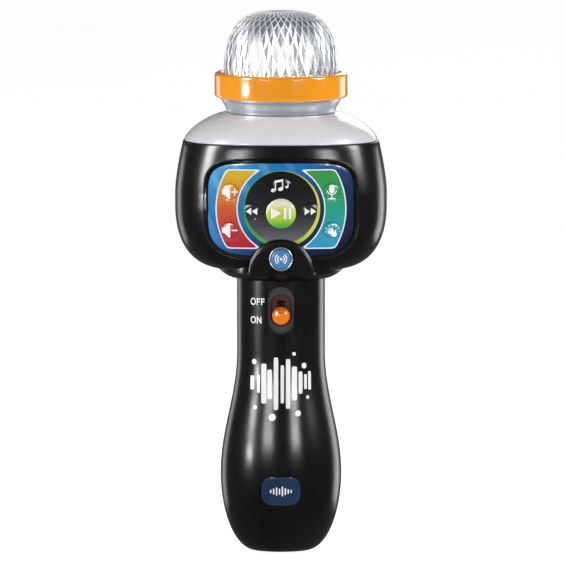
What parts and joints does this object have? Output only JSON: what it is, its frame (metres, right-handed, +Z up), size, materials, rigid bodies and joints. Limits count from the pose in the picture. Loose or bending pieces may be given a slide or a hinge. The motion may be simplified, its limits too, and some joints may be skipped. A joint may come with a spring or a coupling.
{
  "type": "karaoke microphone",
  "caption": "Toy hand-held karaoke microphone with a light-up faceted dome, wide head with a key panel, slim handle with slide switch and rear battery hatch.",
  "frame": {"origin": "centre of the flat round base at the bottom of the handle", "axes": "+Z up along the handle to the dome, the key panel and the switch face -Y, +X to the right of someone facing the panel"},
  "size_m": [0.0978, 0.0765, 0.2497],
  "materials": {
    "shell_black": "deep black moulded plastic, polished, soft reflections",
    "hatch_black": "black moulded plastic with a fine spark-eroded texture",
    "pearl_silver": "light silver pearl plastic, glossy",
    "satin_silver": "satin silver paint on plastic",
    "ring_orange": "bright orange gloss plastic",
    "dome_clear": "clear faceted plastic",
    "shade_silver": "vacuum-silvered plastic",
    "panel_print": "printed film in blues with a round black centre, glossy",
    "key_amber": "printed key, amber",
    "key_red": "printed key, red",
    "key_green": "printed key, green",
    "key_blue": "printed key, light blue",
    "key_dark": "printed key, near black",
    "key_lime": "printed key, lime to green",
    "pairing_blue": "blue plastic with a white printed symbol",
    "bezel_silver": "silver painted ring",
    "switch_orange": "orange gloss plastic",
    "badge_navy": "navy printed badge",
    "board_green": "green solder-masked circuit board",
    "steel": "nickel-plated steel",
    "magnet_ferrite": "dark ferrite and plated steel",
    "cone_paper": "black treated paper cone",
    "tray_black": "black moulded plastic",
    "cell_wrap": "battery sleeve, copper and black",
    "boot_rubber": "soft black rubber",
    "capsule_aluminium": "drawn aluminium can",
    "lamp_lens": "tinted clear lamp",
    "lead_red": "red insulated lead",
    "lead_yellow": "yellow insulated lead"
  },
  "bodies": {
    "housing": {"handle_front_shell": "shell_black", "handle_rear_shell": "shell_black", "handle_screw_1": "steel", "handle_screw_2": "steel", "battery_tray": "tray_black", "battery_1": "cell_wrap", "battery_2": "cell_wrap", "battery_3": "cell_wrap", "battery_contact_lower": "steel", "battery_contact_upper": "steel", "badge": "badge_navy", "switch_body": "steel", "neck_flange": "shell_black", "head_front_shell": "shell_black", "head_rear_shell": "shell_black", "head_screw_1": "steel", "head_screw_2": "steel", "head_screw_3": "steel", "head_screw_4": "steel", "speaker_frame": "steel", "speaker_magnet": "magnet_ferrite", "speaker_cone": "cone_paper", "button_panel": "panel_print", "pairing_bezel": "bezel_silver", "key_board": "board_green", "main_board": "board_green", "shoulder_cover": "pearl_silver", "collar": "satin_silver", "accent_ring": "ring_orange", "grille_dome": "dome_clear", "dome_shade": "shade_silver", "lamp_board": "board_green", "lamp_1": "lamp_lens", "lamp_2": "lamp_lens", "lamp_3": "lamp_lens", "mic_boot": "boot_rubber", "mic_capsule": "capsule_aluminium", "lead_power": "lead_red", "lead_lamp": "lead_yellow", "tact_switch_volume_up": "steel", "tact_switch_volume_down": "steel", "tact_switch_voice_effect": "steel", "tact_switch_applause": "steel", "tact_switch_previous": "steel", "tact_switch_next": "steel", "tact_switch_mode": "steel", "tact_switch_play_pause": "steel", "tact_switch_pairing": "steel"},
    "key_volume_up": {"key_volume_up": "key_amber"},
    "key_volume_down": {"key_volume_down": "key_red"},
    "key_voice_effect": {"key_voice_effect": "key_green"},
    "key_applause": {"key_applause": "key_blue"},
    "key_previous": {"key_previous": "key_dark"},
    "key_next": {"key_next": "key_dark"},
    "key_mode": {"key_mode": "key_dark"},
    "key_play_pause": {"key_play_pause": "key_lime"},
    "pairing_button": {"pairing_button": "pairing_blue"},
    "power_switch": {"switch_knob": "switch_orange"},
    "battery_hatch": {"battery_door": "hatch_black", "battery_door_screw": "steel"}
  },
  "joints": [
    {"name": "key_volume_up_press", "type": "slide", "parent": "housing", "child": "key_volume_up", "axis": [0, 1, 0], "range_m": [0, 0.0008], "stiffness_N_per_m": 400, "springref_m": -0.0005},
    {"name": "key_volume_down_press", "type": "slide", "parent": "housing", "child": "key_volume_down", "axis": [0, 1, 0], "range_m": [0, 0.0008], "stiffness_N_per_m": 400, "springref_m": -0.0005},
    {"name": "key_voice_effect_press", "type": "slide", "parent": "housing", "child": "key_voice_effect", "axis": [0, 1, 0], "range_m": [0, 0.0008], "stiffness_N_per_m": 400, "springref_m": -0.0005},
    {"name": "key_applause_press", "type": "slide", "parent": "housing", "child": "key_applause", "axis": [0, 1, 0], "range_m": [0, 0.0008], "stiffness_N_per_m": 400, "springref_m": -0.0005},
    {"name": "key_previous_press", "type": "slide", "parent": "housing", "child": "key_previous", "axis": [0, 1, 0], "range_m": [0, 0.0008], "stiffness_N_per_m": 400, "springref_m": -0.0005},
    {"name": "key_next_press", "type": "slide", "parent": "housing", "child": "key_next", "axis": [0, 1, 0], "range_m": [0, 0.0008], "stiffness_N_per_m": 400, "springref_m": -0.0005},
    {"name": "key_mode_press", "type": "slide", "parent": "housing", "child": "key_mode", "axis": [0, 1, 0], "range_m": [0, 0.0008], "stiffness_N_per_m": 400, "springref_m": -0.0005},
    {"name": "key_play_pause_press", "type": "slide", "parent": "housing", "child": "key_play_pause", "axis": [0, 1, 0], "range_m": [0, 0.0008], "stiffness_N_per_m": 400, "springref_m": -0.0005},
    {"name": "pairing_button_press", "type": "slide", "parent": "housing", "child": "pairing_button", "axis": [0, 1, 0], "range_m": [0, 0.0008], "stiffness_N_per_m": 400, "springref_m": -0.0005},
    {"name": "power_switch_slide", "type": "slide", "parent": "housing", "child": "power_switch", "axis": [0, 0, 1], "range_m": [0, 0.005]},
    {"name": "battery_hatch_tip", "type": "hinge", "parent": "housing", "child": "battery_hatch", "pos_m": [0, 0.0243, 0.0133], "axis": [-1, 0, 0], "range_deg": [0, 60]}
  ]
}
